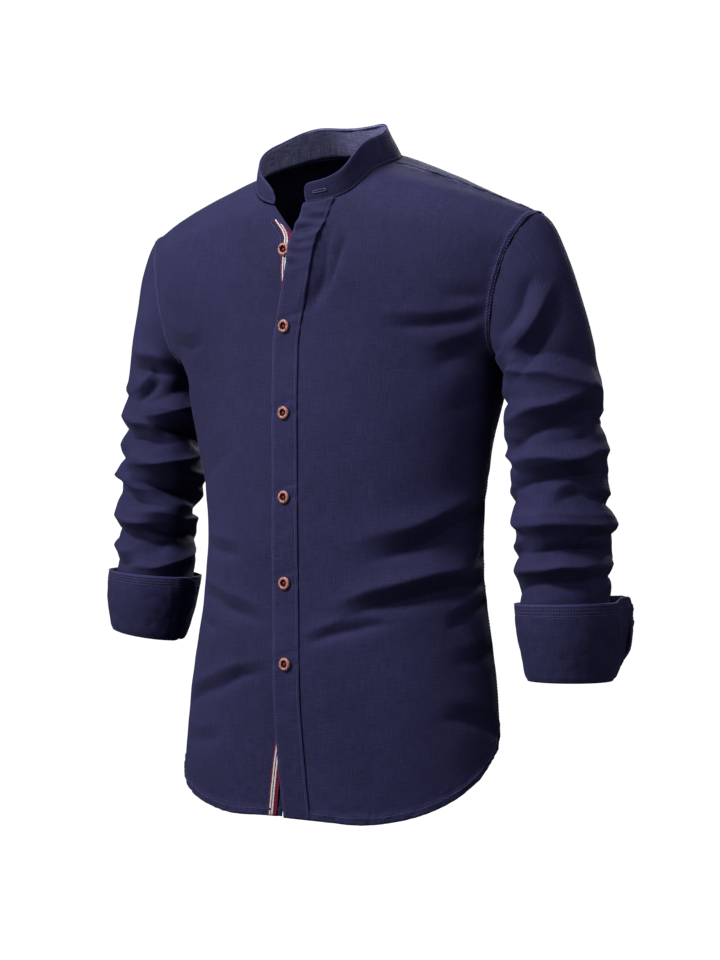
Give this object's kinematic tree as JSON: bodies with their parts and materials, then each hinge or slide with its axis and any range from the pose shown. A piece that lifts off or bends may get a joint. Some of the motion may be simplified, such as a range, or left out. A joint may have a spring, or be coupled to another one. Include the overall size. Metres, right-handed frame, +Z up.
{
  "type": "button-up shirt",
  "caption": "Long-sleeved button-up shirt with a standing band collar and turned-back cuffs, in the hollow form of a garment that is worn.",
  "frame": {"origin": "in the neck hole, level with the side of the neck seam, where the wearer's neck and shoulders hold the shirt up", "axes": "+Z up along the standing wearer, -Y the way the wearer faces, +X the wearer's left"},
  "size_m": [0.6416, 0.2176, 0.729],
  "materials": {
    "shirting": "matt navy slub cotton, plain weave, topstitched",
    "tape": "woven tape with lengthwise stripes of red, white and navy",
    "button": "satin rim round a darker dished middle"
  },
  "bodies": {
    "root": {"front_left": "shirting", "front_right": "shirting", "back": "shirting", "yoke": "shirting", "front_strip": "shirting", "collar_band": "shirting", "sleeve_left": "shirting", "sleeve_right": "shirting", "cuff_left": "shirting", "cuff_right": "shirting", "stand_tape": "tape", "button_1": "button", "button_2": "button", "button_3": "button", "button_4": "button", "button_5": "button", "button_6": "button"}
  },
  "joints": []
}
